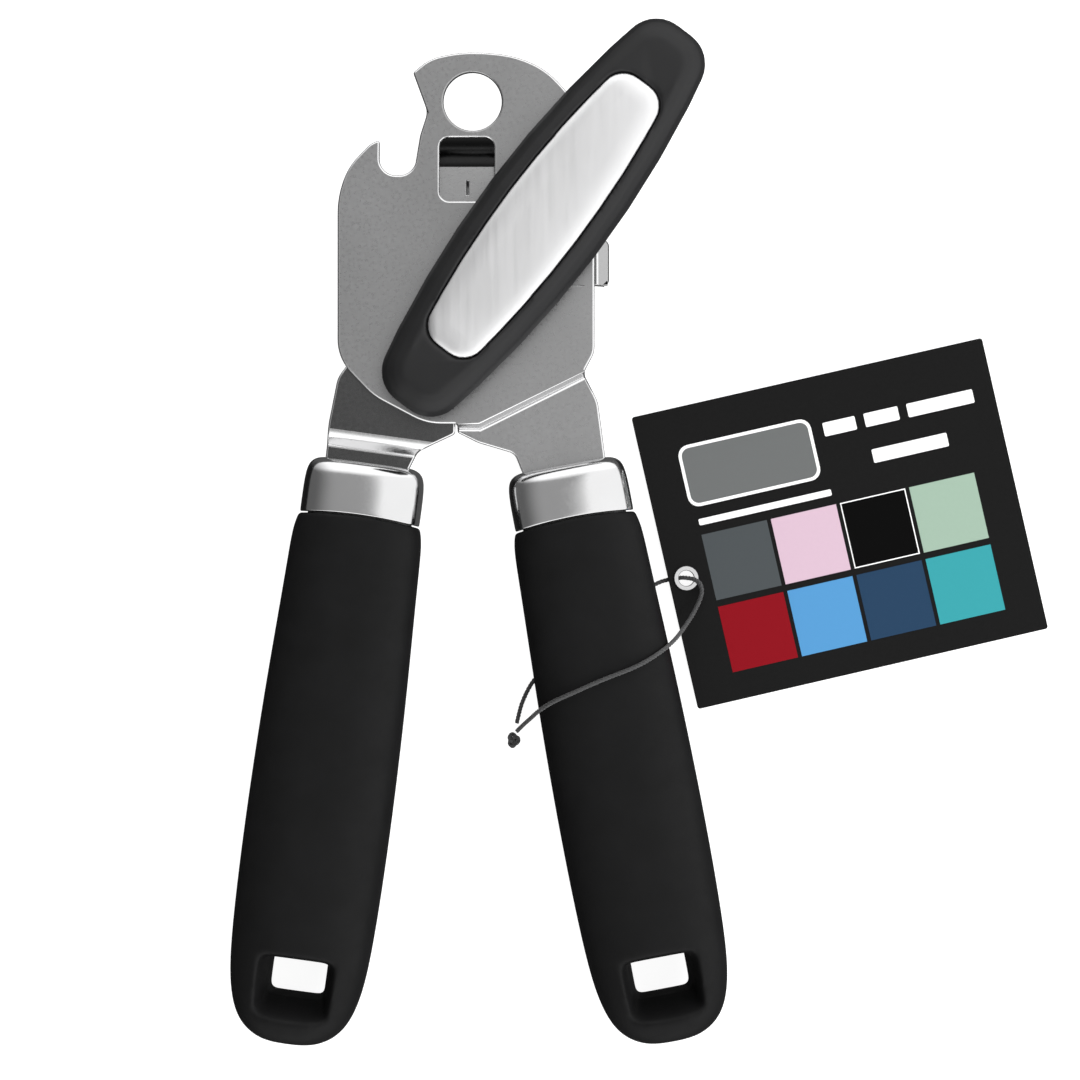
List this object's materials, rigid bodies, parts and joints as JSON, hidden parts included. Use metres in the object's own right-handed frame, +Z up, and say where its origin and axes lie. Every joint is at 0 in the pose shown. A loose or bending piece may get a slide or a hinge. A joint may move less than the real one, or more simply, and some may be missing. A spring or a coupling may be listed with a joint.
{
  "type": "manual can opener",
  "caption": "Hand-held can opener: two hinged steel arms with soft grips, a wing knob driving a serrated wheel, a cutter wheel and a bottle opener notch, with a hang tag on a string.",
  "frame": {"origin": "on the surface it lies on, under the middle of the opener without its tag and string", "axes": "+Z up through the knob, +Y from the grips towards the head, +X to the right seen from above"},
  "size_m": [0.1773, 0.218, 0.0276],
  "materials": {
    "front_plate": "satin stamped stainless steel with polished edges",
    "rear_plate": "satin stamped stainless steel",
    "bright_steel": "turned bright steel",
    "cutter_steel": "hardened, ground steel",
    "ferrule": "polished stainless steel",
    "knob_insert": "brushed stainless steel",
    "knob_shell": "matte black moulded plastic",
    "grip": "soft-touch black rubber",
    "core": "dark moulded plastic",
    "tag_card": "printed black card",
    "tag_eyelet": "pressed bright eyelet",
    "string": "thin waxed black cord"
  },
  "bodies": {
    "right_arm": {"front_plate": "front_plate", "rim_guide": "rear_plate", "pivot_rivet": "bright_steel", "pivot_washer": "bright_steel", "cutter_stud": "bright_steel", "cutter_spacer": "bright_steel", "right_ferrule": "ferrule", "right_grip": "grip", "right_core": "core", "right_tang_pin": "bright_steel", "tag_card": "tag_card", "tag_eyelet": "tag_eyelet", "tag_string": "string", "string_knot": "string"},
    "left_arm": {"rear_plate": "rear_plate", "drive_bushing": "bright_steel", "left_ferrule": "ferrule", "left_grip": "grip", "left_core": "core", "left_tang_pin": "bright_steel"},
    "drive": {"drive_shaft": "bright_steel", "feed_wheel": "cutter_steel", "feed_collar": "bright_steel", "knob_washer": "bright_steel", "knob_shell": "knob_shell", "knob_core": "rear_plate", "knob_insert": "knob_insert"},
    "cutter": {"cutter_wheel": "cutter_steel"}
  },
  "joints": [
    {"name": "handle_pivot", "type": "hinge", "parent": "right_arm", "child": "left_arm", "pos_m": [-0.00187, 0.04416, 0.0115], "axis": [0, 0, -1], "range_deg": [0, 16]},
    {"name": "knob_spin", "type": "hinge", "parent": "left_arm", "child": "drive", "pos_m": [0.01383, 0.06706, 0.0115], "axis": [0, 0, 1], "continuous": true},
    {"name": "cutter_spin", "type": "hinge", "parent": "right_arm", "child": "cutter", "pos_m": [-0.00028, 0.06867, 0.005], "axis": [0, 0, 1], "continuous": true}
  ]
}
